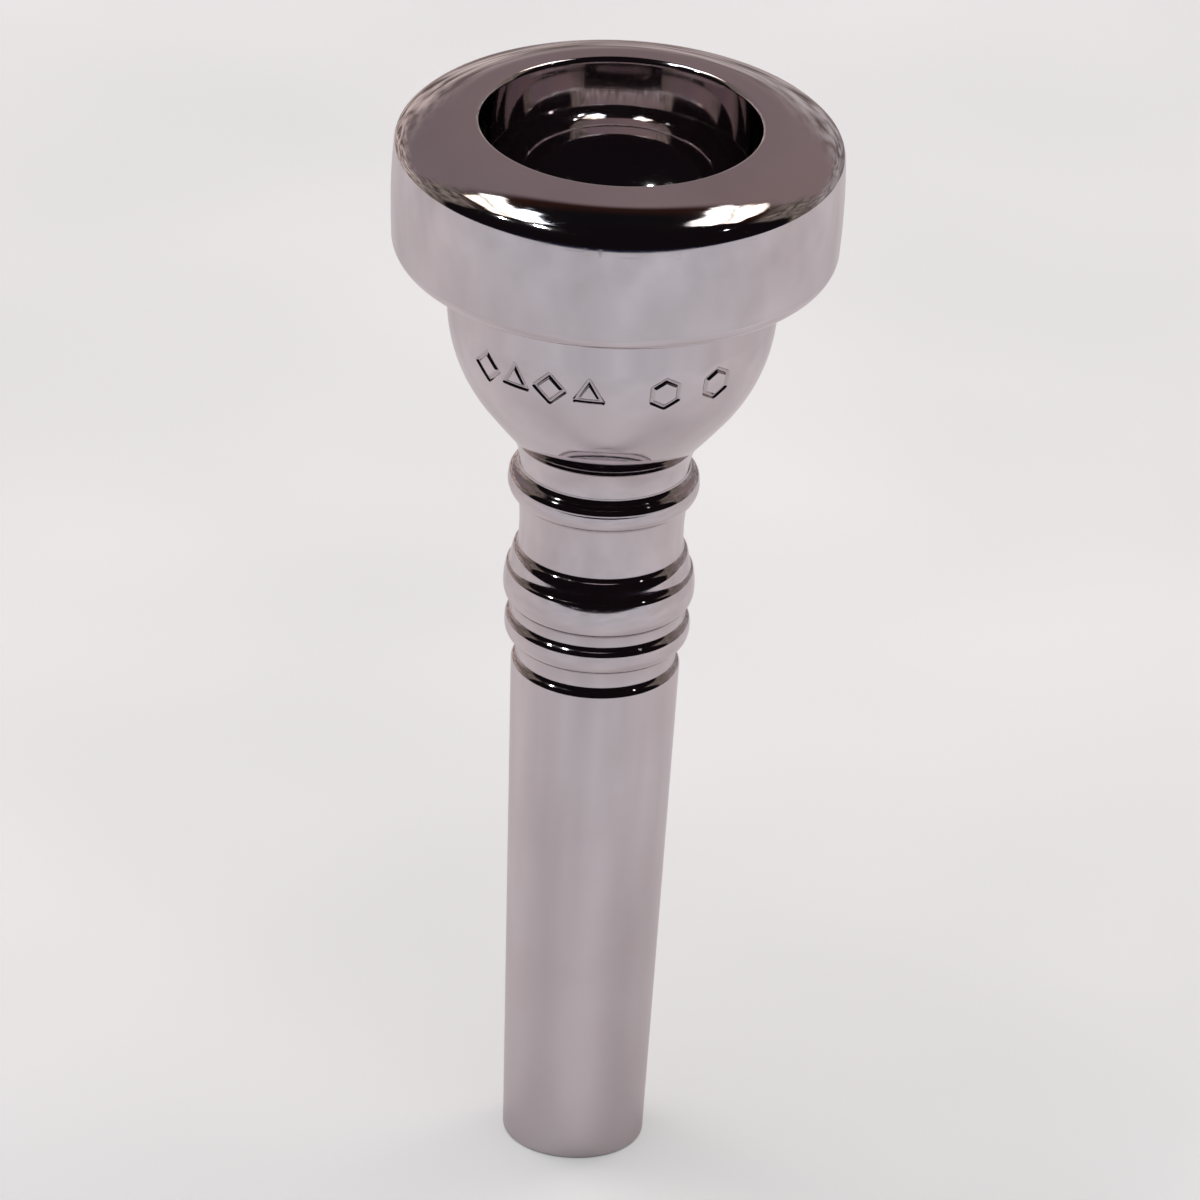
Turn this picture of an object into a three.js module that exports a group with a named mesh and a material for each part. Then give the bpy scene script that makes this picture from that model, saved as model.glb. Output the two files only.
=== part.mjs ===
// A cornet mouthpiece in three turned pieces that screw together: rim, cup and shank.
// Millimetres, +Z up along the bore, origin at the centre of the shank's end face.
// Every outline is drawn as radius against height and turned about the bore's axis.
import * as THREE from 'three';
import { mergeVertices } from 'three/addons/utils/BufferGeometryUtils.js';

// ---- Driving dimensions ----
const OVERALL_LENGTH = 70.7;
const RIM_RADIUS = 13.85;
const BITE_RADIUS = 8.6;
const SHANK_END_RADIUS = 4.4;
const SHANK_TAPER = 1 / 40; // radius gained per millimetre: the usual 1:20 on diameter
const THROAT_RADIUS = 1.83;
const BACKBORE_END_RADIUS = 3.7;
const SEAM_GAP = 0.05; // between two faces that meet at a joint
const TURNING_STEPS = 48; // flats around each turned surface

// ---- Heights of the main features ----
const SHANK_TOP_Z = 33.4; // where the plain taper ends and the turned beads begin
const CUP_SEAM_Z = 47.4; // the cup sits on the shank here, in the narrow collar over the top bead
const RIM_SEAM_Z = 67.8; // the rim's inner lip sits on the cup's top edge here
const RIM_UNDERSIDE_Z = 61.7;
const THROAT_TOP_Z = 60.8;
const THROAT_END_Z = 55.8;

// ---- Rim: flat playing face, crown, shoulder and corner, each slope measured from level ----
const FACE_START = BITE_RADIUS + 0.35; // the bite's rounding ends here
const FACE_END = 9.52;
const CROWN = { radius: 7.1, slope: 29.5 };
const SHOULDER = { radius: 2.2, slope: 48 };
const CORNER = { radius: 0.8, slope: 86.5 }; // where it meets the band, which leans in a little
const BAND_WIDEST_Z = 66.5;
const BAND_LOWER_RADIUS = RIM_RADIUS - 0.13;
const BAND_LOWER_SWELL = 0.03;
const BAND_UPPER_SWELL = 0.016;
const UNDERSIDE_ROUNDING = 1.1;
const LIP_RADIUS = 7.95; // bore of the rim where it meets the cup
const MOUTH_CHAMFER = { deep: 0.3, wide: 0.75, height: 0.4 }; // lead into the rim's thread

// ---- Screw threads: crests stand clear, so each piece can also be drawn straight off ----
const THREAD_PITCH = 1.0;
const THREAD_DEPTH = 0.5;
const ROWS_PER_PITCH = 4;
const CREST_CLEARANCE = 0.1;
const RIM_THREAD = { crest: 9.35, low: 63.1, high: 66.6 };
const STUB_THREAD = { crest: 3.9, low: 42.1, high: 46.6 };
const RELIEF_DEPTH = 0.55; // plain grooves where a thread runs out
const RUN_OUT = 0.4; // height of those grooves' sloping side

// ---- Stub and socket that join cup and shank ----
const STUB_END_Z = 41.0;
const SOCKET_FLOOR_Z = 40.8;
const STUB_TIP = { chamfer: 0.5, height: 0.5, land: 0.1 };
const SOCKET_CHAMFER = 0.4;

// ---- Shank, from the foot upwards, as [radius, height] ----
const END_ROUNDING = 0.2;
const BORE_EDGE = 0.1; // broken edge at the mouth of the backbore
const GROOVE_WALL = { foot: [4.89, 34.1], top: [4.92, 35.0] };
const LOWER_BEAD = { crest: [5.74, 36.0], brow: [5.73, 36.53], rise: 0.17 };
const NOTCH_WALL = { foot: [5.39, 37.24], top: [5.38, 37.74] };
const MIDDLE_BEAD = { crest: [5.92, 38.8], brow: [5.88, 39.55], rise: 0.1 };
const LEDGE_STEP = { foot: [5.82, 39.95], top: [5.6, 40.4] };
const FLARE = { foot: [5.45, 41.2], top: [5.12, 41.85] };
const NECK = [[5.09, 42.5], [5.09, 43.3], [5.15, 44.2], [5.26, 45.05]];
const UPPER_BEAD = { crest: [5.93, 46.0], brow: [5.885, 46.44], rise: 0.13 };
const COLLAR_FOOT = [5.285, 47.36]; // top of the hollow over the upper bead

// ---- Cup ----
const CUP_WALL_RADIUS = 10.15;
const CUP_WALL_FOOT_Z = 58.6; // the outer wall is upright above this height
const CUP_SWEEP = { radius: 11, lean: 37.5 }; // the cup's round outside, down to this lean from upright
const CUP_FUNNEL = { radius: 64, lean: 40 }; // flatter part below it
const COVE_NECK_RADIUS = 5.28; // where the hollow curve under the cup ends
const BOWL_DEPTH = 6.2; // from the seam to where the bowl's curve would meet the axis
const BOWL_TURN_DEGREES = 72; // how far the bowl's curve is followed before the throat
const THROAT_SHOULDER = { radius: 0.17, height: 0.45 };
const CUP_EDGE = { drop: 0.5, inset: 0.35 }; // chamfer at the top of the cup's thread

const SILVER = 0xd2c9cd;

const toRadians = THREE.MathUtils.degToRad;
const toDegrees = THREE.MathUtils.radToDeg;

function point(radius, z) {
  return new THREE.Vector2(radius, z);
}

// Points along an arc, angles measured from the outward direction towards +Z.
function arc(centreRadius, centreZ, size, fromDegrees, toAngle, steps) {
  const points = [];
  for (let i = 0; i <= steps; i += 1) {
    const angle = toRadians(fromDegrees + ((toAngle - fromDegrees) * i) / steps);
    points.push(point(centreRadius + size * Math.cos(angle), centreZ + size * Math.sin(angle)));
  }
  return points;
}

// Points on a gentle swell between two ends, bulging outwards by `rise` halfway.
function swell(start, end, rise, steps) {
  const points = [];
  for (let i = 0; i <= steps; i += 1) {
    const t = i / steps;
    const bulge = rise * 4 * t * (1 - t);
    points.push(point(start.x + (end.x - start.x) * t + bulge, start.y + (end.y - start.y) * t));
  }
  return points;
}

// A step inwards going up: a rounded edge running into an equal hollow, upright at both ends.
function ogee(foot, top, steps) {
  const inwards = foot.x - top.x;
  const height = top.y - foot.y;
  const turn = 2 * toDegrees(Math.atan(inwards / height));
  const size = height / (2 * Math.sin(toRadians(turn)));
  return [
    ...arc(foot.x - size, foot.y, size, 0, turn, steps),
    ...arc(top.x + size, top.y, size, 180 + turn, 180, steps).slice(1),
  ];
}

// Rows for a thread, from one height to another at a constant radius; cutThread shapes them.
function threadRows(radius, fromZ, toZ) {
  const steps = Math.round((Math.abs(toZ - fromZ) / THREAD_PITCH) * ROWS_PER_PITCH);
  const points = [];
  for (let i = 0; i <= steps; i += 1) {
    points.push(point(radius, fromZ + ((toZ - fromZ) * i) / steps));
  }
  return points;
}

function backboreRadius(z) {
  const t = THREE.MathUtils.clamp((THROAT_END_Z - z) / THROAT_END_Z, 0, 1);
  return THROAT_RADIUS + (BACKBORE_END_RADIUS - THROAT_RADIUS) * (1.6 * t - 0.6 * t * t);
}

function backbore(fromZ, toZ, steps) {
  const points = [];
  for (let i = 0; i <= steps; i += 1) {
    const z = fromZ + ((toZ - fromZ) * i) / steps;
    points.push(point(backboreRadius(z), z));
  }
  return points;
}

// Moves the rows of a thread in or out along a one-start helix, fading out at both ends.
function cutThread(geometry, thread, radius, direction) {
  const position = geometry.attributes.position;
  const length = thread.high - thread.low;
  for (let i = 0; i < position.count; i += 1) {
    const x = position.getX(i);
    const y = position.getY(i);
    const z = position.getZ(i);
    const along = z - thread.low;
    const isThreadRow = Math.abs(Math.hypot(x, y) - radius) < 1e-4 && along > -1e-4 && along < length + 1e-4;
    if (!isThreadRow) {
      continue;
    }
    const turns = z / THREAD_PITCH - Math.atan2(y, x) / (2 * Math.PI);
    const phase = turns - Math.floor(turns);
    const groove = 1 - Math.abs(2 * phase - 1);
    const fade = THREE.MathUtils.clamp(Math.min(along, length - along) / (THREAD_PITCH / 2), 0, 1);
    const scale = (radius + direction * THREAD_DEPTH * groove * fade) / radius;
    position.setXYZ(i, x * scale, y * scale, z);
  }
}

// Turns a closed outline about +Z, cuts its threads and closes the surface.
function turnPiece(name, outline, threads) {
  const closed = outline.concat([outline[0].clone()]);
  const turned = new THREE.LatheGeometry(closed, TURNING_STEPS);
  turned.rotateX(Math.PI / 2);
  for (const { thread, radius, direction } of threads) {
    cutThread(turned, thread, radius, direction);
  }
  turned.deleteAttribute('normal');
  turned.deleteAttribute('uv');
  const geometry = mergeVertices(turned, 1e-5);
  geometry.computeVertexNormals();
  const material = new THREE.MeshStandardMaterial({ color: SILVER, metalness: 1, roughness: 0.1 });
  const mesh = new THREE.Mesh(geometry, material);
  mesh.name = name;
  return mesh;
}

// The rim's top from the band inwards: corner, shoulder and crown, each tangent to the next.
function rimTop() {
  const bends = [CROWN, SHOULDER, CORNER];
  const steps = [5, 3, 3];
  const points = [];
  let centre = point(FACE_END, OVERALL_LENGTH - CROWN.radius);
  let start = 0;
  bends.forEach((bend, i) => {
    const turned = arc(centre.x, centre.y, bend.radius, 90 - start, 90 - bend.slope, steps[i]);
    points.push(...(i === 0 ? turned : turned.slice(1)));
    const next = bends[i + 1];
    if (next) {
      const slope = toRadians(bend.slope);
      const shift = bend.radius - next.radius;
      centre = point(centre.x + shift * Math.sin(slope), centre.y + shift * Math.cos(slope));
    }
    start = bend.slope;
  });
  return points.reverse();
}

// Outside of the rim: rounded underside, barrel band, then the top.
function rimOutside() {
  const top = rimTop();
  const bandFoot = point(BAND_LOWER_RADIUS, RIM_UNDERSIDE_Z + UNDERSIDE_ROUNDING);
  const widest = point(RIM_RADIUS, BAND_WIDEST_Z);
  return [
    ...arc(bandFoot.x - UNDERSIDE_ROUNDING, bandFoot.y, UNDERSIDE_ROUNDING, -90, 0, 5),
    ...swell(bandFoot, widest, BAND_LOWER_SWELL, 3).slice(1),
    ...swell(widest, top[0], BAND_UPPER_SWELL, 3).slice(1),
    ...top.slice(1),
  ];
}

function buildRim() {
  const biteRounding = FACE_START - BITE_RADIUS;
  const minor = RIM_THREAD.crest + CREST_CLEARANCE;
  const relief = minor + RELIEF_DEPTH;
  const threadTop = RIM_THREAD.high;
  const outline = [
    ...rimOutside(),
    ...arc(FACE_START, OVERALL_LENGTH - biteRounding, biteRounding, 90, 180, 4),
    point(LIP_RADIUS, RIM_SEAM_Z),
    point(relief, RIM_SEAM_Z),
    point(relief, threadTop + RUN_OUT),
    ...threadRows(minor, threadTop, RIM_THREAD.low),
    point(minor + MOUTH_CHAMFER.deep, RIM_UNDERSIDE_Z + MOUTH_CHAMFER.height),
    point(minor + MOUTH_CHAMFER.wide, RIM_UNDERSIDE_Z),
  ];
  return turnPiece('rim', outline, [{ thread: RIM_THREAD, radius: minor, direction: 1 }]);
}

// Outside of the cup: hollow cove rising into the flat funnel, the round sweep, then the upright wall.
function cupOutside() {
  const sweepLean = toRadians(CUP_SWEEP.lean);
  const funnelLean = toRadians(CUP_FUNNEL.lean);
  const sweepCentre = point(CUP_WALL_RADIUS - CUP_SWEEP.radius, CUP_WALL_FOOT_Z);
  const apart = CUP_FUNNEL.radius - CUP_SWEEP.radius;
  const funnelCentre = point(
    sweepCentre.x - apart * Math.cos(sweepLean),
    sweepCentre.y + apart * Math.sin(sweepLean),
  );
  const meetRadius = funnelCentre.x + CUP_FUNNEL.radius * Math.cos(funnelLean);
  const meetZ = funnelCentre.y - CUP_FUNNEL.radius * Math.sin(funnelLean);
  const coveRadius = (meetRadius - COVE_NECK_RADIUS) / (1 - Math.cos(funnelLean));
  const coveCentre = point(COVE_NECK_RADIUS + coveRadius, meetZ - coveRadius * Math.sin(funnelLean));
  const coveStart = 180 - toDegrees(Math.asin((CUP_SEAM_Z + SEAM_GAP - coveCentre.y) / coveRadius));
  const shoulderZ = RIM_UNDERSIDE_Z - SEAM_GAP;
  return [
    ...arc(coveCentre.x, coveCentre.y, coveRadius, coveStart, 180 - CUP_FUNNEL.lean, 6),
    ...arc(funnelCentre.x, funnelCentre.y, CUP_FUNNEL.radius, -CUP_FUNNEL.lean, -CUP_SWEEP.lean, 3).slice(1),
    ...arc(sweepCentre.x, sweepCentre.y, CUP_SWEEP.radius, -CUP_SWEEP.lean, 0, 8).slice(1),
    point(CUP_WALL_RADIUS, shoulderZ),
  ];
}

// Inside of the cup: an elliptical bowl running into the throat over a rounded shoulder.
function bowl() {
  const points = [];
  const steps = 9;
  for (let i = 0; i <= steps; i += 1) {
    const angle = toRadians((BOWL_TURN_DEGREES * i) / steps);
    points.push(point(LIP_RADIUS * Math.cos(angle), RIM_SEAM_Z - SEAM_GAP - BOWL_DEPTH * Math.sin(angle)));
  }
  points.push(point(THROAT_RADIUS + THROAT_SHOULDER.radius, THROAT_TOP_Z + THROAT_SHOULDER.height));
  points.push(point(THROAT_RADIUS, THROAT_TOP_Z));
  return points;
}

function buildCup() {
  const crest = RIM_THREAD.crest;
  const stubCrest = STUB_THREAD.crest;
  const stubLand = stubCrest - STUB_TIP.land;
  const stubRelief = stubCrest - RELIEF_DEPTH;
  const shoulderZ = RIM_UNDERSIDE_Z - SEAM_GAP;
  const seatZ = CUP_SEAM_Z + SEAM_GAP;
  const outline = [
    ...cupOutside(),
    point(crest - RELIEF_DEPTH, shoulderZ),
    point(crest - RELIEF_DEPTH, RIM_THREAD.low - RUN_OUT),
    ...threadRows(crest, RIM_THREAD.low, RIM_THREAD.high),
    point(crest, RIM_SEAM_Z - CUP_EDGE.drop),
    point(crest - CUP_EDGE.inset, RIM_SEAM_Z - SEAM_GAP),
    ...bowl(),
    ...backbore(THROAT_END_Z, STUB_END_Z, 4),
    point(stubLand - STUB_TIP.chamfer, STUB_END_Z),
    point(stubLand, STUB_END_Z + STUB_TIP.height),
    ...threadRows(stubCrest, STUB_THREAD.low, STUB_THREAD.high),
    point(stubRelief, STUB_THREAD.high + RUN_OUT),
    point(stubRelief, seatZ),
  ];
  return turnPiece('cup', outline, [
    { thread: RIM_THREAD, radius: crest, direction: -1 },
    { thread: STUB_THREAD, radius: stubCrest, direction: -1 },
  ]);
}

// A bead's underside, swelling from the foot to its crest, then its brow above the crest.
function bead(foot, { crest, brow, rise }, steps) {
  return [...swell(point(...foot), point(...crest), rise, steps), point(...brow)];
}

// Outside of the shank: plain taper, groove, two beads, ledge, flare, neck, top bead and collar.
function shankOutside() {
  const taperTop = point(SHANK_END_RADIUS + SHANK_TAPER * SHANK_TOP_Z, SHANK_TOP_Z);
  return [
    ...arc(SHANK_END_RADIUS - END_ROUNDING, END_ROUNDING, END_ROUNDING, -90, 0, 3),
    ...ogee(taperTop, point(...GROOVE_WALL.foot), 3),
    ...bead(GROOVE_WALL.top, LOWER_BEAD, 5).slice(0, -1),
    ...ogee(point(...LOWER_BEAD.brow), point(...NOTCH_WALL.foot), 3),
    ...bead(NOTCH_WALL.top, MIDDLE_BEAD, 5),
    ...ogee(point(...LEDGE_STEP.foot), point(...LEDGE_STEP.top), 2),
    ...ogee(point(...FLARE.foot), point(...FLARE.top), 3),
    ...NECK.slice(0, -1).map(([radius, z]) => point(radius, z)),
    ...bead(NECK[NECK.length - 1], UPPER_BEAD, 5).slice(0, -1),
    ...ogee(point(...UPPER_BEAD.brow), point(...COLLAR_FOOT), 3),
    point(COLLAR_FOOT[0], CUP_SEAM_Z),
  ];
}

function buildShank() {
  const minor = STUB_THREAD.crest + CREST_CLEARANCE;
  const relief = minor + RELIEF_DEPTH;
  const outline = [
    ...shankOutside(),
    point(minor + SOCKET_CHAMFER, CUP_SEAM_Z),
    point(minor, CUP_SEAM_Z - SOCKET_CHAMFER),
    ...threadRows(minor, STUB_THREAD.high, STUB_THREAD.low),
    point(relief, STUB_THREAD.low - RUN_OUT),
    point(relief, SOCKET_FLOOR_Z),
    ...backbore(SOCKET_FLOOR_Z, BORE_EDGE, 8),
    point(BACKBORE_END_RADIUS + BORE_EDGE, 0),
  ];
  return turnPiece('shank', outline, [{ thread: STUB_THREAD, radius: minor, direction: 1 }]);
}

const mouthpiece = new THREE.Group();
mouthpiece.name = 'mouthpiece';
mouthpiece.add(buildRim(), buildCup(), buildShank());

export default mouthpiece;
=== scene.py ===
"""A silver-plated cornet mouthpiece in three turned pieces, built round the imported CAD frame."""
import math

import bpy
import numpy as np
from mathutils import Matrix, Vector


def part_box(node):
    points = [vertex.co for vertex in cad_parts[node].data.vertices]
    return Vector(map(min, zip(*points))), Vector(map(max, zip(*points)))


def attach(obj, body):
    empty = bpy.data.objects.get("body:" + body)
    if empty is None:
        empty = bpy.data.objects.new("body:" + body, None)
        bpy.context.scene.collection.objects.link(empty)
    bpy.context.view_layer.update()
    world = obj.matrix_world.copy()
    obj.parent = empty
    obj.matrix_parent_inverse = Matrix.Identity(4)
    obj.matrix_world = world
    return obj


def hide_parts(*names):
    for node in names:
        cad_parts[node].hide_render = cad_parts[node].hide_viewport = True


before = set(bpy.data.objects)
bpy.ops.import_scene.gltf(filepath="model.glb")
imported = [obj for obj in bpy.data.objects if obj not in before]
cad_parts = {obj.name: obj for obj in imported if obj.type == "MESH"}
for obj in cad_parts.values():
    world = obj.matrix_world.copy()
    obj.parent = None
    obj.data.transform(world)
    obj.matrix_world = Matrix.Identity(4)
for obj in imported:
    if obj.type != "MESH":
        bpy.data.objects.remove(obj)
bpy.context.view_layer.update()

# ---- Driving dimensions, in millimetres: the boxes are read from the frame, the rest match the CAD ----
MM = 0.001


def box_mm(node):
    low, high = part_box(node)
    return Vector(low) / MM, Vector(high) / MM


RIM_LOW, RIM_HIGH = box_mm("rim")
CUP_LOW, CUP_HIGH = box_mm("cup")
SHANK_HIGH = box_mm("shank")[1]

CAD_GAP = 0.05  # between the faces that meet at each joint of the CAD
TOP = RIM_HIGH.z
RIM_RADIUS = RIM_HIGH.x
UNDERSIDE = RIM_LOW.z
RIM_SEAM = CUP_HIGH.z + CAD_GAP
CUP_SEAM = SHANK_HIGH.z
STUB_END = CUP_LOW.z
WALL_RADIUS = CUP_HIGH.x
SEAM_GAP = 0.02  # the finer gap drawn here

BITE_RADIUS = 8.6
LIP_RADIUS = 7.95
END_RADIUS = 4.4
TAPER = 1 / 40
THROAT_RADIUS = 1.83
BORE_END_RADIUS = 3.7
THROAT_TOP = TOP - 9.9
THROAT_END = TOP - 14.9
SHANK_TOP = 33.4

# Rim: the flat face, then bends of (radius, slope from level where it ends).
FACE_START = BITE_RADIUS + 0.35
FACE_END = 9.52
RIM_BENDS = ((7.1, 29.5), (2.2, 48.0), (0.8, 86.5))
BAND_WIDEST = TOP - 4.2
BAND_LOWER_RADIUS = RIM_RADIUS - 0.13
BAND_LOWER_RISE, BAND_UPPER_RISE = 0.03, 0.016
UNDERSIDE_ROUNDING = 1.1
UNDERSIDE_ROWS = (11.0, 12.0)  # radii of two more rows that keep the underside's shading flat
LIP_ROUNDING = 0.04
MOUTH_NARROW, MOUTH_WIDE, MOUTH_HEIGHT = 0.3, 0.75, 0.4  # lead into the rim's thread

# Cup: wall, round sweep, flatter funnel and hollow cove, with the lean from upright where the first two end.
WALL_FOOT = UNDERSIDE - 3.1
SWEEP, SWEEP_LEAN = 11.0, 37.5
FUNNEL, FUNNEL_LEAN = 64.0, 40.0
COVE_NECK = 5.28
BROKEN_EDGE = 0.06
CUP_EDGE_DROP, CUP_EDGE_INSET, CUP_EDGE_LAND = 0.5, 0.35, 0.1  # chamfer over the cup's thread
BOWL_DEPTH, BOWL_TURN, BOWL_STEPS = 6.2, 70, 60
THROAT_ROUNDING = 1.2
STUB_TIP_INSET, STUB_TIP_LAND, STUB_TIP_HEIGHT = 0.6, 0.1, 0.5

# Marks: plain figures in a row, each with its degrees round the cup from the front, its sides and its turn.
MARKS = ((-47.6, 4, 0), (-34.7, 3, 90), (-21.0, 4, 0), (-6.6, 3, 90), (20.6, 6, 90), (41.0, 6, 90))
MARK_HEIGHT = 2.4
MARK_HALF_WIDTH = 0.19
MARK_DEPTH = 0.14
MARK_MIDDLE = UNDERSIDE - 4.7
MARK_REACH = math.radians(58)
MARK_FILL = 0.82  # how much of its height a figure fills
MARK_MARGIN = 0.75  # fine rows reach this many heights above and below the middle
MARK_CUT_REACH = 0.72
MARK_SPACING = 0.035  # between rows and columns across the marks

# Shank, from the foot up: (radius, height) points, with the rise of each bow between them.
END_ROUNDING = 0.2
BORE_EDGE = 0.1
SOCKET_CHAMFER = 0.4
SOCKET_DEPTH_SPARE = 0.2  # the socket's floor lies this far under the stub
GROOVE_FOOT = (4.89, 34.1)
LOWER_BEAD_FOOT, LOWER_BEAD_CREST, LOWER_BEAD_RISE = (4.92, 35.0), (5.74, 36.0), 0.2
LOWER_BEAD_TOP = 36.3
NOTCH_EDGE, NOTCH_FOOT = (5.73, 36.53), (5.385, 37.19)
MIDDLE_BEAD = ((5.38, 37.74), (5.92, 38.8), (5.89, 39.55), 0.14, 0.016)
STEP_EDGE = (5.815, 40.04)
LEDGE_MIDDLE, LEDGE_HALF, LEDGE_LEAN, LEDGE_END_LEAN = (5.515, 40.83), 0.45, 9.5, 16
NECK = ((5.11, 41.8), (5.09, 42.4), (5.09, 43.3), (5.15, 44.2), (5.26, 45.05))
UPPER_BEAD = (NECK[-1], (5.93, 46.0), (5.885, 46.45), 0.16, 0.006)
COLLAR_EDGE, COLLAR_FOOT = (5.885, 46.5), (5.285, 47.33)
COLLAR_TOP_RADIUS = 5.283

# Screw threads: crest radius and the heights between which they are cut.
PITCH = 1.0
THREAD_DEPTH = 0.5
CREST_CLEARANCE = 0.1
RELIEF = 0.55
RUN_OUT = 0.4
RIM_THREAD = (9.35, UNDERSIDE + 1.4, UNDERSIDE + 4.9)
STUB_THREAD = (3.9, STUB_END + 1.1, STUB_END + 5.6)
THREAD_ROW = 0.0625
THREAD_CREST_FLAT, THREAD_FLANK = 0.12, 0.76  # shares of the pitch wave that are crest and flank


# ---- Outline helpers: points are (radius, height) ----
def arc(centre, size, start, end, step=4.0):
    """Points on an arc; angles in degrees from outward towards up."""
    count = max(2, int(abs(end - start) / step))
    angles = np.radians(np.linspace(start, end, count + 1))
    return [(centre[0] + size * math.cos(a), centre[1] + size * math.sin(a)) for a in angles]


def bow(start, end, rise, count=14):
    """A circular arc between two points that stands out from their chord by rise, to its right going up."""
    a, b = np.array(start), np.array(end)
    chord = b - a
    length = np.linalg.norm(chord)
    along = chord / length
    out = np.array((along[1], -along[0]))
    radius = (length ** 2 / 4 + rise ** 2) / (2 * rise)
    centre = (a + b) / 2 + out * (rise - radius)
    half = math.asin(max(-1.0, min(1.0, length / 2 / radius)))
    points = []
    for t in np.linspace(-half, half, count + 1):
        points.append(tuple(centre + out * radius * math.cos(t) + along * radius * math.sin(t)))
    return points


def ogee(foot, top, low_lean=0.0, high_lean=0.0, count=14):
    """A step inwards going up: a rounded edge into an equal hollow, each end leaning by its given degrees."""
    inwards, height = foot[0] - top[0], top[1] - foot[1]
    ratio = inwards / height
    low, high = math.radians(low_lean), math.radians(high_lean)
    level = (math.cos(low) + math.cos(high)) / 2
    sunk = (math.sin(low) + math.sin(high)) / 2
    turn = math.atan(ratio) + math.acos(min(1.0, (level + ratio * sunk) / math.hypot(1, ratio)))
    size = height / (2 * (math.sin(turn) - sunk))
    edge = (foot[0] - size * math.cos(low), foot[1] - size * math.sin(low))
    hollow = (top[0] + size * math.cos(high), top[1] + size * math.sin(high))
    points = []
    for a in np.linspace(low, turn, count):
        points.append((edge[0] + size * math.cos(a), edge[1] + size * math.sin(a)))
    for a in np.linspace(turn, high, count)[1:]:
        points.append((hollow[0] - size * math.cos(a), hollow[1] - size * math.sin(a)))
    return points


def ledge(middle, half, middle_lean, end_lean, count=12):
    """A sloping ledge that leans in least at its middle and more towards both ends."""
    least, most = math.tan(math.radians(middle_lean)), math.tan(math.radians(end_lean))
    points = []
    for s in np.linspace(-1, 1, count + 1):
        points.append((middle[0] - half * (least * s + (most - least) * s ** 3 / 3), middle[1] + half * s))
    return points


def bead(foot, crest, brow, rise, brow_rise):
    """A bead from its foot over its crest to its brow."""
    return bow(foot, crest, rise) + bow(crest, brow, brow_rise)[1:]


def smooth(points, count=8):
    """A smooth curve through points, with its ends heading for their neighbours."""
    places = [np.array(p) for p in [points[0]] + list(points) + [points[-1]]]
    result = [tuple(places[1])]
    for before, a, b, after in zip(places, places[1:], places[2:], places[3:]):
        for t in np.linspace(0, 1, count + 1)[1:]:
            bend = (2 * a + (b - before) * t + (2 * before - 5 * a + 4 * b - after) * t ** 2
                    + (3 * a - before - 3 * b + after) * t ** 3)
            result.append(tuple(bend / 2))
    return result


def fillet(points, size, count=5):
    """Rounds every inner corner of an open line by size, or by less where its sides are short."""
    result = [points[0]]
    for before, corner, after in zip(points, points[1:], points[2:]):
        p, c, n = np.array(before), np.array(corner), np.array(after)
        back, on = p - c, n - c
        reach = min(size, np.linalg.norm(back) * 0.45, np.linalg.norm(on) * 0.45)
        start = c + back / np.linalg.norm(back) * reach
        end = c + on / np.linalg.norm(on) * reach
        for t in np.linspace(0, 1, count + 1):
            result.append(tuple((1 - t) ** 2 * start + 2 * t * (1 - t) * c + t ** 2 * end))
    result.append(points[-1])
    return result


def thread_rows(radius, start, end):
    count = round(abs(end - start) / THREAD_ROW)
    return [(radius, z) for z in np.linspace(start, end, count + 1)]


def backbore_radius(z):
    t = min(1.0, max(0.0, (THROAT_END - z) / THROAT_END))
    return THROAT_RADIUS + (BORE_END_RADIUS - THROAT_RADIUS) * (1.6 * t - 0.6 * t * t)


def backbore(start, end, count):
    return [(backbore_radius(z), z) for z in np.linspace(start, end, count + 1)]


# ---- Turning an outline into a mesh ----
SHARP_DEGREES = 38
FULL_EDGE_BEND, FULL_CREASE_BEND = 6, 4  # radians per millimetre at which an edge or a crease counts fully
SHORTEST_REACH = 0.02


def even_columns(count=360):
    return np.linspace(0, 2 * math.pi, count, endpoint=False)


def cut_thread(radius, height, angle, thread, base, direction):
    crest, low, high = thread
    along = height - low
    row = (abs(radius - base) < 1e-6) & (along > -1e-6) & (along < high - low + 1e-6)
    phase = (height / PITCH - angle / (2 * math.pi)) % 1.0
    groove = 1 - abs(2 * phase - 1)
    groove = np.clip((groove - THREAD_CREST_FLAT) / THREAD_FLANK, 0, 1)
    fade = np.clip(np.minimum(along, high - low - along) / (PITCH / 2), 0, 1)
    return np.where(row, radius + direction * THREAD_DEPTH * groove * fade, radius)


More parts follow.
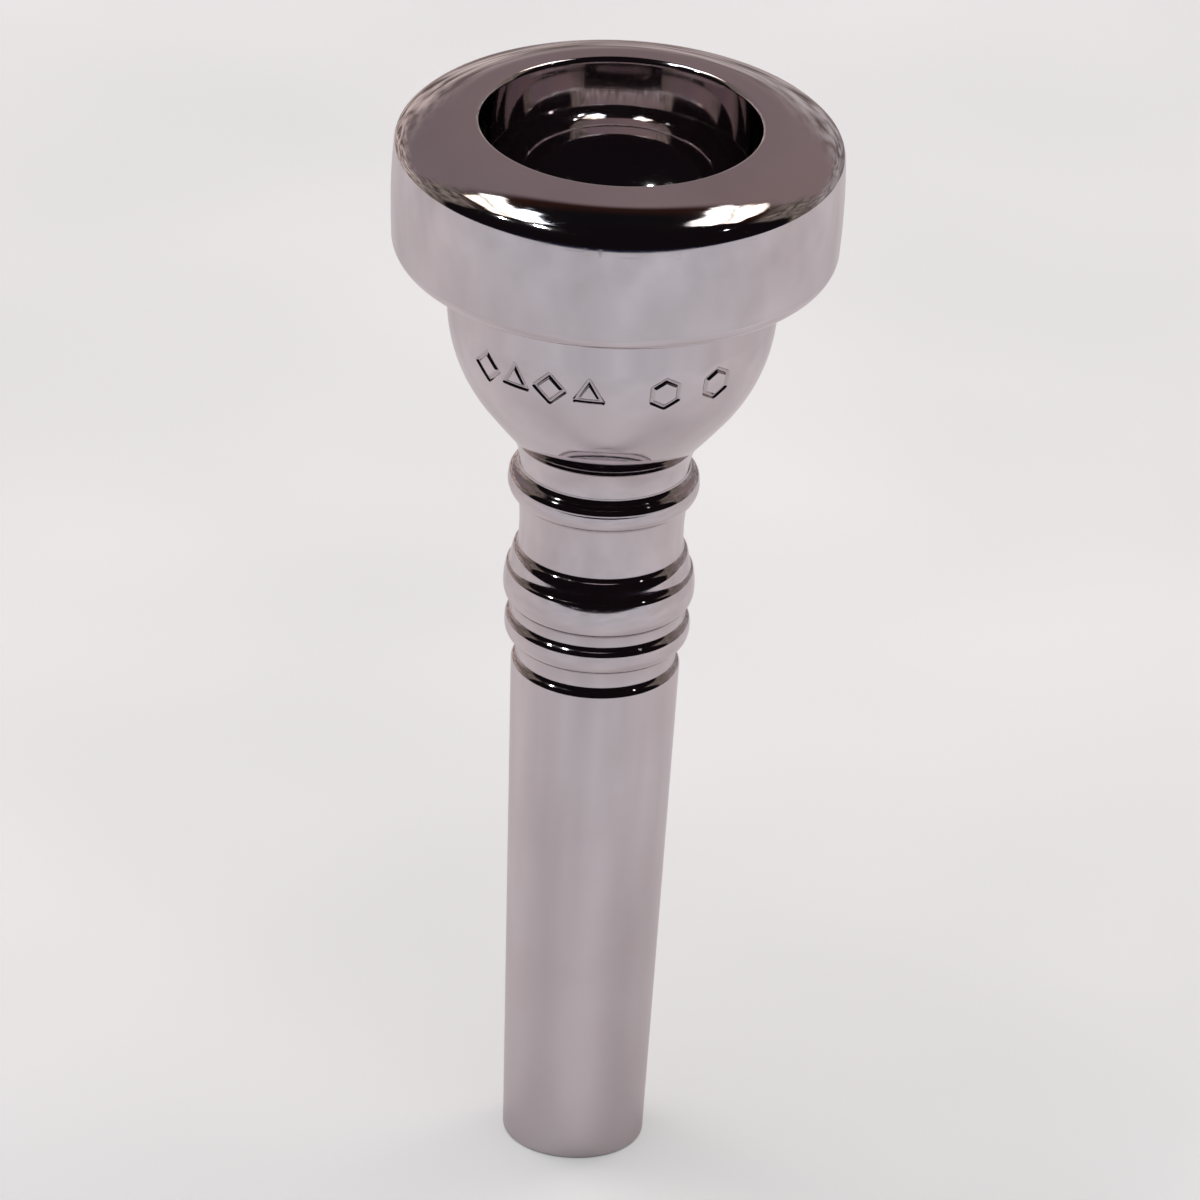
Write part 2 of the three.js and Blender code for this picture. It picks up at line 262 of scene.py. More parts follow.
def turned(name, outline, columns, threads=(), engrave=None):
    """A closed mesh of the outline turned about +Z."""
    points = np.array(outline)
    rows, cols = len(points), len(columns)
    radius = np.repeat(points[:, :1], cols, axis=1)
    height = np.repeat(points[:, 1:], cols, axis=1)
    angle = np.repeat(np.asarray(columns)[None, :], rows, axis=0)
    for thread, base, direction in threads:
        radius = cut_thread(radius, height, angle, thread, base, direction)
    depth = np.zeros_like(radius)
    if engrave is not None:
        depth = engrave(radius, height, angle)
        radius = radius - depth
    places = np.stack((radius * np.cos(angle), radius * np.sin(angle), height), axis=-1)
    i, j = np.meshgrid(np.arange(rows), np.arange(cols), indexing="ij")
    up, on = (i + 1) % rows, (j + 1) % cols
    faces = np.stack((i * cols + j, i * cols + on, up * cols + on, up * cols + j), axis=-1)
    mesh = bpy.data.meshes.new(name)
    mesh.from_pydata((places.reshape(-1, 3) * MM).tolist(), [], faces.reshape(-1, 4).tolist())
    mesh.polygons.foreach_set("use_smooth", [True] * len(mesh.polygons))
    mesh.set_sharp_from_angle(angle=math.radians(SHARP_DEGREES))
    store_bend(mesh, points, cols)
    store(mesh, "engraved", depth.reshape(-1) / max(1e-9, depth.max()))
    mesh.update()
    piece = bpy.data.objects.new(name, mesh)
    bpy.context.scene.collection.objects.link(piece)
    return piece


def store(mesh, name, values):
    layer = mesh.attributes.new(name, "FLOAT", "POINT")
    layer.data.foreach_set("value", np.ascontiguousarray(values, dtype=np.float32))


def store_bend(mesh, points, cols):
    """How tightly the outline bends at each row: convex as edge, hollow as crease."""
    back = points - np.roll(points, 1, axis=0)
    on = np.roll(points, -1, axis=0) - points
    turn = back[:, 0] * on[:, 1] - back[:, 1] * on[:, 0]
    dot = (back * on).sum(axis=1)
    reach = (np.linalg.norm(back, axis=1) + np.linalg.norm(on, axis=1)) / 2
    bend = np.arctan2(turn, dot) / np.maximum(reach, SHORTEST_REACH)
    store(mesh, "edge", np.repeat(np.clip(bend / FULL_EDGE_BEND, 0, 1), cols))
    store(mesh, "crease", np.repeat(np.clip(-bend / FULL_CREASE_BEND, 0, 1), cols))


# ---- Rim ----
def rim_top():
    """The rim's top from the band inwards: corner, shoulder and crown, each tangent to the next."""
    points = []
    centre = (FACE_END, TOP - RIM_BENDS[0][0])
    start = 0.0
    for index, (size, slope) in enumerate(RIM_BENDS):
        bend = arc(centre, size, 90 - start, 90 - slope, 1.5)
        points += bend if index == 0 else bend[1:]
        if index + 1 < len(RIM_BENDS):
            shift, lean = size - RIM_BENDS[index + 1][0], math.radians(slope)
            centre = (centre[0] + shift * math.sin(lean), centre[1] + shift * math.cos(lean))
        start = slope
    return points[::-1]


def rim_outline():
    """The band, the top, the bite, the bore and the thread."""
    top = rim_top()
    foot = (BAND_LOWER_RADIUS, UNDERSIDE + UNDERSIDE_ROUNDING)
    widest = (RIM_RADIUS, BAND_WIDEST)
    bite = FACE_START - BITE_RADIUS
    crest, low, high = RIM_THREAD
    minor = crest + CREST_CLEARANCE
    relief = minor + RELIEF
    inside = [
        (BITE_RADIUS, TOP - bite),
        (LIP_RADIUS, RIM_SEAM),
        (relief, RIM_SEAM),
        (relief, high + RUN_OUT),
        (minor, high),
    ]
    mouth = [(minor + MOUTH_NARROW, UNDERSIDE + MOUTH_HEIGHT), (minor + MOUTH_WIDE, UNDERSIDE)]
    return (
        arc((foot[0] - UNDERSIDE_ROUNDING, foot[1]), UNDERSIDE_ROUNDING, -90, 0, 3)
        + bow(foot, widest, BAND_LOWER_RISE)[1:]
        + bow(widest, top[0], BAND_UPPER_RISE)[1:]
        + top[1:]
        + [((FACE_START + FACE_END) / 2, TOP)]
        + arc((FACE_START, TOP - bite), bite, 90, 180, 4)
        + fillet(inside, LIP_ROUNDING)[1:-1]
        + thread_rows(minor, high, low)
        + mouth
        + [(radius, UNDERSIDE) for radius in UNDERSIDE_ROWS]
    )


# ---- Cup ----
def cup_outside():
    """From the collar up: hollow cove, funnel, sweep and wall, with close rows across the marks."""
    seat = CUP_SEAM + SEAM_GAP
    sweep_r = WALL_RADIUS - SWEEP
    apart = FUNNEL - SWEEP
    lean = math.radians(SWEEP_LEAN)
    funnel_r, funnel_z = sweep_r - apart * math.cos(lean), WALL_FOOT + apart * math.sin(lean)
    lean = math.radians(FUNNEL_LEAN)
    cove = (funnel_r + FUNNEL * math.cos(lean) - COVE_NECK) / (1 - math.cos(lean))
    cove_r, cove_z = COVE_NECK + cove, funnel_z - (FUNNEL + cove) * math.sin(lean)
    cove_start = 180 - math.degrees(math.asin((seat - cove_z) / cove))
    wall = arc((funnel_r, funnel_z), FUNNEL, -FUNNEL_LEAN, -SWEEP_LEAN, 0.5)[1:]
    wall += arc((sweep_r, WALL_FOOT), SWEEP, -SWEEP_LEAN, 0, 1.0)[1:]
    mark_low = MARK_MIDDLE - MARK_HEIGHT * MARK_MARGIN
    mark_high = MARK_MIDDLE + MARK_HEIGHT * MARK_MARGIN
    lower = [p for p in wall if p[1] < mark_low]
    marked = []
    for z in np.arange(mark_low, mark_high, MARK_SPACING):
        below = min(0.0, z - WALL_FOOT)
        marked.append((sweep_r + math.sqrt(SWEEP ** 2 - below ** 2), z))
    return arc((cove_r, cove_z), cove, cove_start, 180 - FUNNEL_LEAN, 1.5) + lower + marked


def bowl(cup_top):
    """Inside of the cup: an elliptical bowl running into the throat over a rounded edge."""
    points = []
    for a in np.radians(np.linspace(0, BOWL_TURN, BOWL_STEPS)):
        points.append((LIP_RADIUS * math.cos(a), cup_top - BOWL_DEPTH * math.sin(a)))
    throat = [points[-1], (THROAT_RADIUS, THROAT_TOP + 0.1), (THROAT_RADIUS, THROAT_END)]
    return points[:-1] + fillet(throat, THROAT_ROUNDING, 14)[1:-1]


def cup_outline():
    """The outside, the thread for the rim, the bowl, the bore and the threaded stub."""
    seat = CUP_SEAM + SEAM_GAP
    shoulder = UNDERSIDE - SEAM_GAP
    cup_top = RIM_SEAM - SEAM_GAP
    crest, low, high = RIM_THREAD
    stub, stub_low, stub_high = STUB_THREAD
    top_edge = [
        (crest, cup_top - CUP_EDGE_DROP),
        (crest - CUP_EDGE_INSET, cup_top),
        (LIP_RADIUS + CUP_EDGE_LAND, cup_top),
    ]
    stub_tip = [(stub - STUB_TIP_INSET, STUB_END), (stub - STUB_TIP_LAND, STUB_END + STUB_TIP_HEIGHT)]
    return (
        cup_outside()
        + [(WALL_RADIUS, shoulder - BROKEN_EDGE), (WALL_RADIUS - BROKEN_EDGE, shoulder)]
        + [(crest - RELIEF, shoulder), (crest - RELIEF, low - RUN_OUT)]
        + thread_rows(crest, low, high)
        + top_edge
        + bowl(cup_top)
        + backbore(THROAT_END, STUB_END, 12)
        + stub_tip
        + thread_rows(stub, stub_low, stub_high)
        + [(stub - RELIEF, stub_high + RUN_OUT), (stub - RELIEF, seat)]
    )


def polygon(middle, size, sides, turn=0.0):
    """The corners of a regular figure as one closed stroke."""
    corners = []
    for k in range(sides + 1):
        a = math.radians(turn) + 2 * math.pi * k / sides
        corners.append((middle + size * math.cos(a), size * math.sin(a)))
    return corners


def marks():
    """Plain geometric ornaments as strokes, in millimetres round the cup and above the marks' middle."""
    half = MARK_HEIGHT / 2
    strokes = []
    for degrees, sides, turn in MARKS:
        strokes.append(polygon(math.radians(degrees) * WALL_RADIUS, half * MARK_FILL, sides, turn))
    return strokes


def engrave_marks(radius, height, angle):
    """Depth of the cut at each point: round-bottomed grooves along the strokes."""
    around = (angle + math.pi / 2 + math.pi) % (2 * math.pi) - math.pi
    u, v = around * WALL_RADIUS, height - MARK_MIDDLE
    near = (abs(around) < MARK_REACH) & (abs(v) < MARK_HEIGHT * MARK_CUT_REACH) & (radius > WALL_RADIUS * 0.9)
    pu, pv = u[near], v[near]
    best = np.full(pu.shape, MARK_HEIGHT * 4)
    for stroke in marks():
        for (ax, ay), (bx, by) in zip(stroke, stroke[1:]):
            dx, dy = bx - ax, by - ay
            t = np.clip(((pu - ax) * dx + (pv - ay) * dy) / (dx * dx + dy * dy), 0, 1)
            best = np.minimum(best, np.hypot(pu - ax - t * dx, pv - ay - t * dy))
    depth = np.zeros_like(radius)
    inside = np.clip(1 - (best / MARK_HALF_WIDTH) ** 2, 0, 1)
    depth[near] = MARK_DEPTH * inside
    return depth


def mark_columns():
    """Columns round the cup, close together across the marks."""
    front = -math.pi / 2
    fine = np.arange(front - MARK_REACH, front + MARK_REACH, MARK_SPACING / WALL_RADIUS)
    coarse = np.linspace(front + MARK_REACH, front - MARK_REACH + 2 * math.pi, 240, endpoint=False)
    return np.concatenate((fine, coarse))


# ---- Shank ----
def shank_outside():
    """Plain taper, groove, lower bead, notch, middle bead, ledge, flare, neck, upper bead and collar."""
    taper_top = (END_RADIUS + TAPER * SHANK_TOP, SHANK_TOP)
    shelf = ledge(LEDGE_MIDDLE, LEDGE_HALF, LEDGE_LEAN, LEDGE_END_LEAN)
    return (
        arc((END_RADIUS - END_ROUNDING, END_ROUNDING), END_ROUNDING, -90, 0, 5)
        + ogee(taper_top, GROOVE_FOOT, 1.4, 0)
        + bow(LOWER_BEAD_FOOT, LOWER_BEAD_CREST, LOWER_BEAD_RISE)
        + [(LOWER_BEAD_CREST[0], LOWER_BEAD_TOP)]
        + ogee(NOTCH_EDGE, NOTCH_FOOT, 3, 0)
        + bead(*MIDDLE_BEAD)
        + ogee(STEP_EDGE, shelf[0], 8, LEDGE_END_LEAN)
        + shelf[1:]
        + ogee(shelf[-1], NECK[0], LEDGE_END_LEAN, 6)[1:]
        + smooth(NECK)[1:]
        + bead(*UPPER_BEAD)[1:]
        + ogee(COLLAR_EDGE, COLLAR_FOOT, 8, 6)
        + [(COLLAR_TOP_RADIUS, CUP_SEAM)]
    )


def shank_outline():
    """The outside, the socket's thread and the backbore."""
    stub, stub_low, stub_high = STUB_THREAD
    minor = stub + CREST_CLEARANCE
    relief = minor + RELIEF
    floor = STUB_END - SOCKET_DEPTH_SPARE
    return (
        shank_outside()
        + [(minor + SOCKET_CHAMFER, CUP_SEAM), (minor, CUP_SEAM - SOCKET_CHAMFER)]
        + thread_rows(minor, stub_high, stub_low)
        + [(relief, stub_low - RUN_OUT), (relief, floor)]
        + backbore(floor, BORE_EDGE, 40)
        + [(BORE_END_RADIUS + BORE_EDGE, 0.0)]
    )


# ---- Silver plate ----
PLATE = (0.80, 0.765, 0.785, 1)
CLOUDY_PLATE = (0.70, 0.645, 0.66, 1)
# The dark plate colour: oxide in the engraved grooves, and painted shade where it darkens the creases.
OXIDE_AND_PAINTED_SHADE = (0.36, 0.31, 0.31, 1)
LATHE_SCALE, CLOUD_SCALE, MOTTLE_SCALE = 9000.0, 120, 900  # noise cells per metre, roughly
CLOUD_CONTRAST, CLOUD_SHIFT = 1.6, -0.4
SCRATCH_FROM, SCRATCH_TO = 0.66, 0.74  # noise values between which a scratch shows
# Two sets of scratches: turn, stretch, scale, offset.
SCRATCHES = (
    ((0.3, 0.2, 0.5), (1, 12, 1), 900, 0.3),
    ((1.1, 0.7, 2.0), (1, 1, 14), 700, 1.7),
)
# How far the creases darken towards the dark plate colour, which is painted shade, and how far the engraved
# grooves darken with oxide.
CREASE_PAINTED_SHADE, MARK_DULLING = 0.25, 0.35
SMOOTHEST, MOTTLE_ROUGH, SCRATCH_ROUGH, CREASE_ROUGH, EDGE_ROUGH = 0.02, 0.05, 0.06, 0.08, 0.04
SCRATCH_RELIEF = -0.8
RELIEF_STRENGTH, RELIEF_HEIGHT = 0.05, 0.000004


def node(tree, kind, **values):
    made = tree.nodes.new(kind)
    for key, value in values.items():
        if hasattr(made, key):
            setattr(made, key, value)
        else:
            made.inputs[key].default_value = value
    return made


def silver(name, seed):
    """Polished plate: lathe lines, fine scratches, faint cloudy tone, rougher creases darkened with painted
    shade, and dark oxide in the marks.
    """
    material = bpy.data.materials.new(name)
    material.use_nodes = True
    tree = material.node_tree
    link = tree.links.new
    shader = tree.nodes["Principled BSDF"]
    shader.inputs["Metallic"].default_value = 1.0
    coords = node(tree, "ShaderNodeTexCoord")
    split = node(tree, "ShaderNodeSeparateXYZ")
    link(coords.outputs["Object"], split.inputs[0])
    flat = node(tree, "ShaderNodeCombineXYZ")
    link(split.outputs["X"], flat.inputs["X"])
    link(split.outputs["Y"], flat.inputs["Y"])
    radius = node(tree, "ShaderNodeVectorMath", operation="LENGTH")
    link(flat.outputs[0], radius.inputs[0])
    ring = node(tree, "ShaderNodeCombineXYZ")
    link(radius.outputs["Value"], ring.inputs["X"])
    link(split.outputs["Z"], ring.inputs["Y"])
    lathe = node(tree, "ShaderNodeTexNoise", Scale=LATHE_SCALE, Detail=3.0, noise_dimensions="3D")
    link(ring.outputs[0], lathe.inputs["Vector"])

    def cloud(scale, detail, offset):
        shift = node(tree, "ShaderNodeVectorMath", operation="ADD")
        shift.inputs[1].default_value = (seed + offset, seed * 0.7, offset)
        link(coords.outputs["Object"], shift.inputs[0])
        made = node(tree, "ShaderNodeTexNoise", Scale=scale, Detail=detail)
        link(shift.outputs[0], made.inputs["Vector"])
        return made.outputs["Fac"]

    def scratches(turn, stretch, scale, offset):
        mapping = node(tree, "ShaderNodeMapping")
        mapping.inputs["Rotation"].default_value = turn
        mapping.inputs["Scale"].default_value = stretch
        mapping.inputs["Location"].default_value = (offset, seed, 0)
        link(coords.outputs["Object"], mapping.inputs["Vector"])
        lines = node(tree, "ShaderNodeTexNoise", Scale=scale, Detail=2.0)
        link(mapping.outputs[0], lines.inputs["Vector"])
        pick = node(tree, "ShaderNodeMapRange")
        pick.inputs["From Min"].default_value = SCRATCH_FROM
        pick.inputs["From Max"].default_value = SCRATCH_TO
        link(lines.outputs["Fac"], pick.inputs["Value"])
        return pick.outputs["Result"]

    def attribute(label):
        return node(tree, "ShaderNodeAttribute", attribute_name=label).outputs["Fac"]

    def scaled(value, factor, start=0.0):
        made = node(tree, "ShaderNodeMath", operation="MULTIPLY_ADD")
        link(value, made.inputs[0])
        made.inputs[1].default_value = factor
        made.inputs[2].default_value = start
        return made.outputs[0]

    def total(first, second):
        made = node(tree, "ShaderNodeMath", operation="ADD")
        link(first, made.inputs[0])
        link(second, made.inputs[1])
        return made.outputs[0]

    hair = total(scratches(*SCRATCHES[0]), scratches(*SCRATCHES[1]))
    tone = cloud(CLOUD_SCALE, 4, 0.0)
    mottling = cloud(MOTTLE_SCALE, 3, 3.1)
    mix = node(tree, "ShaderNodeMix", data_type="RGBA")
    mix.inputs["A"].default_value = PLATE
    mix.inputs["B"].default_value = CLOUDY_PLATE
    link(scaled(tone, CLOUD_CONTRAST, CLOUD_SHIFT), mix.inputs["Factor"])
    oxide_and_shade = node(tree, "ShaderNodeMix", data_type="RGBA")
    oxide_and_shade.inputs["B"].default_value = OXIDE_AND_PAINTED_SHADE
    link(mix.outputs["Result"], oxide_and_shade.inputs["A"])
    # Base colour darkened by painted shade in the creases and by oxide in the engraved grooves.
    shade = total(scaled(attribute("crease"), CREASE_PAINTED_SHADE), scaled(attribute("engraved"), MARK_DULLING))
    link(shade, oxide_and_shade.inputs["Factor"])
    link(oxide_and_shade.outputs["Result"], shader.inputs["Base Color"])
    rough = total(scaled(mottling, MOTTLE_ROUGH, SMOOTHEST), scaled(hair, SCRATCH_ROUGH))
    rough = total(rough, scaled(attribute("crease"), CREASE_ROUGH))
    rough = total(rough, scaled(attribute("edge"), EDGE_ROUGH))
    link(rough, shader.inputs["Roughness"])
    relief = total(scaled(lathe.outputs["Fac"], 1.0), scaled(hair, SCRATCH_RELIEF))
    bump = node(tree, "ShaderNodeBump")
    bump.inputs["Strength"].default_value = RELIEF_STRENGTH
    bump.inputs["Distance"].default_value = RELIEF_HEIGHT
    link(relief, bump.inputs["Height"])
    link(bump.outputs["Normal"], shader.inputs["Normal"])
    return material


# ---- The pieces ----
rim = turned(
    "rim_ring", rim_outline(), even_columns(),
    threads=[(RIM_THREAD, RIM_THREAD[0] + CREST_CLEARANCE, 1)],
)
cup = turned(
    "cup_body", cup_outline(), mark_columns(),
    threads=[(RIM_THREAD, RIM_THREAD[0], -1), (STUB_THREAD, STUB_THREAD[0], -1)],
    engrave=engrave_marks,
)
shank = turned(
    "shank_backbore", shank_outline(), even_columns(),
    threads=[(STUB_THREAD, STUB_THREAD[0] + CREST_CLEARANCE, 1)],
)
for piece, body, slot, seed in (
    (rim, "rim", "silver_rim", 1.0),
    (cup, "cup", "silver_cup", 2.0),
    (shank, "shank", "silver_shank", 3.0),
):
    piece.data.materials.append(silver(slot, seed))
    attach(piece, body)
    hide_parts(body)


# ---- Floor ----
FLOOR_RADIUS = 0.2
FLOOR_SIDES = 128
PINK_SHEET, COOL_SHEET = (0.84, 0.785, 0.81, 1), (0.80, 0.80, 0.855, 1)
SHEET_COOLS = (0.02, -0.13)  # the cooler tint comes in between these places, front being negative
SHEET_GLOW = (0.24, 0.26, 0.255, 1)  # lifts the sheet towards white where the camera looks at it
PATCHES, DARKEST_PATCH = 16.0, 0.82  # noise cells of the sheet's uneven tone, and its darkest share
PATCH_LOW, PATCH_HIGH = 0.3, 0.7  # noise values of the darkest and the palest patches
SHEET_ROUGH, SHEET_SHINE = 0.9, 0.1


def make_floor():
    """A round pale sheet, cooler at the front and pinker at the back, with a slightly uneven tone."""
    mesh = bpy.data.meshes.new("floor")
    ring = []
    for a in np.linspace(0, 2 * math.pi, FLOOR_SIDES, endpoint=False):
        ring.append((FLOOR_RADIUS * math.cos(a), FLOOR_RADIUS * math.sin(a), 0))
    mesh.from_pydata(ring, [], [list(range(len(ring)))])
    floor = bpy.data.objects.new("floor", mesh)
    bpy.context.scene.collection.objects.link(floor)
    material = bpy.data.materials.new("floor")
    material.use_nodes = True
    tree = material.node_tree
    link = tree.links.new
    shader = tree.nodes["Principled BSDF"]
    shader.inputs["Roughness"].default_value = SHEET_ROUGH
    shader.inputs["Specular IOR Level"].default_value = SHEET_SHINE
    coords = node(tree, "ShaderNodeTexCoord")
    split = node(tree, "ShaderNodeSeparateXYZ")
    link(coords.outputs["Object"], split.inputs[0])
    forward = node(tree, "ShaderNodeMapRange", interpolation_type="SMOOTHSTEP")
    forward.inputs["From Min"].default_value = SHEET_COOLS[0]
    forward.inputs["From Max"].default_value = SHEET_COOLS[1]
    link(split.outputs["Y"], forward.inputs["Value"])
    tint = node(tree, "ShaderNodeMix", data_type="RGBA")
    tint.inputs["A"].default_value = PINK_SHEET
    tint.inputs["B"].default_value = COOL_SHEET
    link(forward.outputs["Result"], tint.inputs["Factor"])
    patchy = node(tree, "ShaderNodeTexNoise", Scale=PATCHES, Detail=2.0)
    link(coords.outputs["Object"], patchy.inputs["Vector"])
    shade = node(tree, "ShaderNodeMapRange")
    shade.inputs["From Min"].default_value = PATCH_LOW
    shade.inputs["From Max"].default_value = PATCH_HIGH
    shade.inputs["To Min"].default_value = DARKEST_PATCH
    link(patchy.outputs["Fac"], shade.inputs["Value"])
    sheet = node(tree, "ShaderNodeVectorMath", operation="SCALE")
    link(tint.outputs["Result"], sheet.inputs[0])
    link(shade.outputs["Result"], sheet.inputs["Scale"])
    link(sheet.outputs[0], shader.inputs["Base Color"])
    path = node(tree, "ShaderNodeLightPath")
    shader.inputs["Emission Color"].default_value = SHEET_GLOW
    link(path.outputs["Is Camera Ray"], shader.inputs["Emission Strength"])
    mesh.materials.append(material)


make_floor()


# ---- Light ----
CEILING = 1.0


def ceiling_pane(name, middle, size, brightness, mirrored=True, height=CEILING):
    """A flat lamp facing down, seen only in the plate or only lighting the floor.

    Its brightness is what a mirror would show of it.
    """
    data = bpy.data.lights.new(name, "AREA")
    data.shape = "RECTANGLE"
    data.size, data.size_y = size
    data.energy = brightness * size[0] * size[1] * math.pi
    lamp = bpy.data.objects.new(name, data)
    lamp.location = (middle[0], middle[1], height)
    lamp.visible_glossy = mirrored
    lamp.visible_diffuse = not mirrored
    lamp.visible_camera = False
    bpy.context.scene.collection.objects.link(lamp)


FILL_SIZE, FILL_BRIGHTNESS, FILL_HEIGHT = 1.6, 1.42, 1.2
# Small lamps: name, place on the ceiling, width, brightness.
LAMPS = (
    ("lamp_left", (-0.40, -0.17), 0.06, 120.0),
    ("lamp_far_left", (-0.68, -0.10), 0.05, 80.0),
    ("lamp_right", (0.66, -0.12), 0.035, 8.0),
)
for lamp_name, place, width, strength in LAMPS:
    ceiling_pane(lamp_name, place, (width, width), strength)
ceiling_pane("fill", (0.0, 0.0), (FILL_SIZE, FILL_SIZE), FILL_BRIGHTNESS, mirrored=False, height=FILL_HEIGHT)


# Windows over the room: middle and size on a ceiling 1 m up, and the colour a mirror would show of them.
WINDOWS = (
    ((-0.60, 0.30), (0.13, 0.46), (2.2, 1.95, 1.6)),
    ((-0.45, 0.28), (0.11, 0.54), (4.2, 4.1, 3.9)),
    ((-0.33, 0.19), (0.09, 0.36), (5.6, 6.2, 6.8)),
    ((0.34, 0.40), (0.12, 0.38), (4.6, 4.5, 4.3)),
    ((0.50, 0.41), (0.13, 0.36), (3.9, 3.5, 3.0)),
)
WINDOW_SOFTNESS = 0.03
OVERHEAD, HIGH_BROWN = (0.006, 0.005, 0.006, 1), (0.026, 0.010, 0.007, 1)
FRONT, FRONT_LOW = (0.006, 0.004, 0.005, 1), (0.009, 0.010, 0.022, 1)
SCREEN_DARK, SCREEN_PALE = (0.06, 0.05, 0.045, 1), (0.26, 0.215, 0.19, 1)
WALL_LEFT, WALL_RIGHT = (0.20, 0.155, 0.165, 1), (0.235, 0.175, 0.175, 1)
LOW_LEFT, LOW_RIGHT, LOW_DARK = (0.75, 0.62, 0.58, 1), (0.45, 0.41, 0.42, 1), (0.13, 0.10, 0.09, 1)
SEEN_ROOM = (0.78, 0.77, 0.78, 1)
# Where each part of the room comes in and is full: how far up, back or to the right a direction points.
BROWN_UP = (0.93, 0.84)
FRONT_LOW_UP = (-0.16, -0.26)
FRONT_ENDS_BACK = (0.0, 0.35)
SCREEN_BACK, SCREEN_UP = (0.02, 0.12), (0.8, 0.7)
WALL_SIDE, WALL_BACK, WALL_UP = (-0.4, 0.4), (0.38, 0.55), (0.85, 0.79)
LOW_SIDE, LOW_BACK, LOW_UP = (-0.5, 0.5), (0.25, 0.5), (0.42, 0.12)
WINDOW_UP = (0.3, 0.4)
NOISE_LOW, NOISE_HIGH = 0.36, 0.64  # nearly all of the noise lies between these
MOTTLE_CELLS = 13.0
WOBBLE = ((6.0, 0.03), (8.0, 0.04))  # noise cells and reach that make the windows' edges uneven


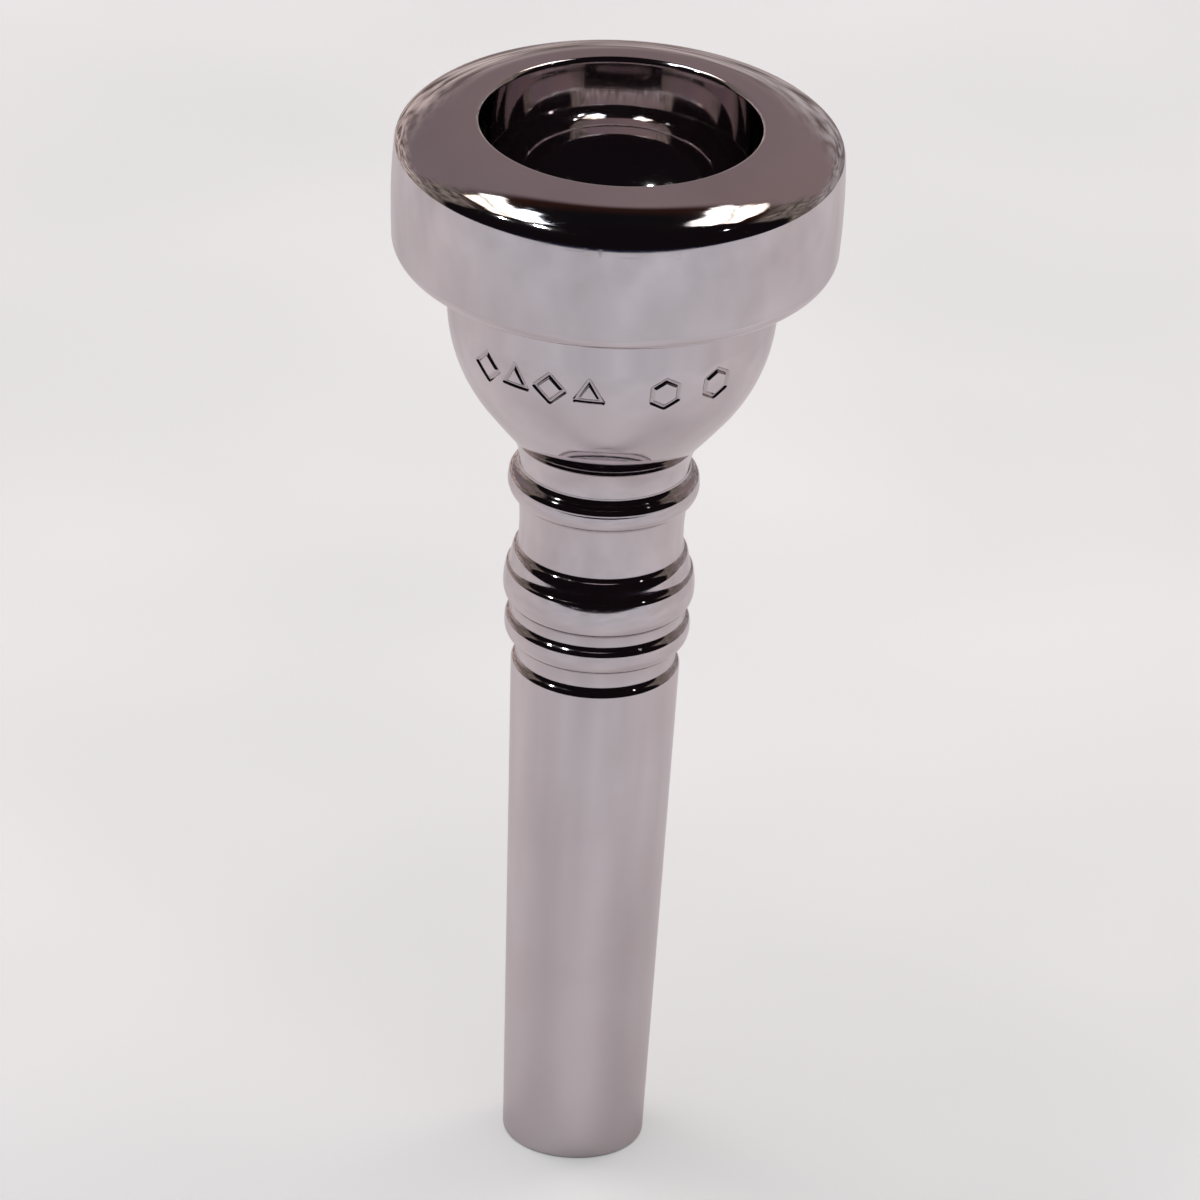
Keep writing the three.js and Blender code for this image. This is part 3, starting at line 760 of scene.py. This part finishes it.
def make_world():
    """What the plate reflects: a dark room, a grey wall behind, mottled side screens and windows overhead.

    Where the camera looks straight at it, it is plain and pale.
    """
    world = bpy.data.worlds.new("room")
    bpy.context.scene.world = world
    world.use_nodes = True
    tree = world.node_tree
    link = tree.links.new
    background = tree.nodes["Background"]
    coords = node(tree, "ShaderNodeTexCoord")
    split = node(tree, "ShaderNodeSeparateXYZ")
    link(coords.outputs["Generated"], split.inputs[0])

    def ramp(value, start, end):
        made = node(tree, "ShaderNodeMapRange", interpolation_type="SMOOTHSTEP")
        made.inputs["From Min"].default_value = start
        made.inputs["From Max"].default_value = end
        link(value, made.inputs["Value"])
        return made.outputs["Result"]

    def maths(operation, first, second):
        made = node(tree, "ShaderNodeMath", operation=operation)
        link(first, made.inputs[0])
        link(second, made.inputs[1])
        return made.outputs[0]

    def mix(factor, start, end):
        made = node(tree, "ShaderNodeMix", data_type="RGBA")
        link(factor, made.inputs["Factor"])
        for socket, value in (("A", start), ("B", end)):
            if isinstance(value, tuple):
                made.inputs[socket].default_value = value
            else:
                link(value, made.inputs[socket])
        return made.outputs["Result"]

    def noise(scale, detail, low, high):
        made = node(tree, "ShaderNodeTexNoise", Scale=scale, Detail=detail)
        link(coords.outputs["Generated"], made.inputs["Vector"])
        spread = node(tree, "ShaderNodeMapRange")
        spread.inputs["From Min"].default_value = NOISE_LOW
        spread.inputs["From Max"].default_value = NOISE_HIGH
        spread.inputs["To Min"].default_value = low
        spread.inputs["To Max"].default_value = high
        link(made.outputs["Fac"], spread.inputs["Value"])
        return spread.outputs["Result"]

    def strip(value, middle, width):
        low, high, soft = middle - width / 2, middle + width / 2, WINDOW_SOFTNESS
        return maths("MULTIPLY", ramp(value, low - soft, low + soft), ramp(value, high + soft, high - soft))

    side, back, up = split.outputs["X"], split.outputs["Y"], split.outputs["Z"]
    mottle = noise(MOTTLE_CELLS, 4.0, 0.0, 1.0)
    room = mix(ramp(up, *BROWN_UP), OVERHEAD, HIGH_BROWN)
    front = mix(ramp(up, *FRONT_LOW_UP), FRONT, FRONT_LOW)
    room = mix(ramp(back, *FRONT_ENDS_BACK), front, room)
    screen = mix(mottle, SCREEN_DARK, SCREEN_PALE)
    room = mix(maths("MULTIPLY", ramp(back, *SCREEN_BACK), ramp(up, *SCREEN_UP)), room, screen)
    wall = mix(ramp(side, *WALL_SIDE), WALL_LEFT, WALL_RIGHT)
    room = mix(maths("MULTIPLY", ramp(back, *WALL_BACK), ramp(up, *WALL_UP)), room, wall)
    pale = mix(ramp(side, *LOW_SIDE), LOW_LEFT, LOW_RIGHT)
    pale = mix(mottle, LOW_DARK, pale)
    room = mix(maths("MULTIPLY", ramp(back, *LOW_BACK), ramp(up, *LOW_UP)), room, pale)
    ceiling_x = maths("ADD", maths("DIVIDE", side, up), noise(WOBBLE[0][0], 3.0, -WOBBLE[0][1], WOBBLE[0][1]))
    ceiling_y = maths("ADD", maths("DIVIDE", back, up), noise(WOBBLE[1][0], 3.0, -WOBBLE[1][1], WOBBLE[1][1]))
    overhead = ramp(up, *WINDOW_UP)
    for middle, size, colour in WINDOWS:
        shape = maths("MULTIPLY", strip(ceiling_x, middle[0], size[0]), strip(ceiling_y, middle[1], size[1]))
        room = mix(maths("MULTIPLY", shape, overhead), room, (*colour, 1))
    path = node(tree, "ShaderNodeLightPath")
    seen = mix(path.outputs["Is Camera Ray"], room, SEEN_ROOM)
    link(seen, background.inputs["Color"])


make_world()


# ---- Camera ----
ELEVATION, ROLL = math.radians(28.3), math.radians(2.785)
DISTANCE = 0.9
FOCAL_LENGTH = 436.27
AIM = Vector((0.00013, 0, 0.03757))  # a little above the middle of the piece's height


def make_camera():
    """A distant camera in front, looking down, rolled so that the piece leans a little in the frame."""
    data = bpy.data.cameras.new("camera")
    data.lens = FOCAL_LENGTH
    data.clip_start, data.clip_end = 0.01, 20
    camera = bpy.data.objects.new("camera", data)
    back = Vector((0, -math.cos(ELEVATION), math.sin(ELEVATION)))
    right = Vector((1, 0, 0))
    up = back.cross(right)
    across = right * math.cos(ROLL) + up * math.sin(ROLL)
    upright = up * math.cos(ROLL) - right * math.sin(ROLL)
    turn = Matrix((across, upright, back)).transposed().to_4x4()
    camera.matrix_world = Matrix.Translation(AIM + back * DISTANCE) @ turn
    bpy.context.scene.collection.objects.link(camera)
    bpy.context.scene.camera = camera


make_camera()
bpy.context.scene.view_settings.view_transform = "Standard"
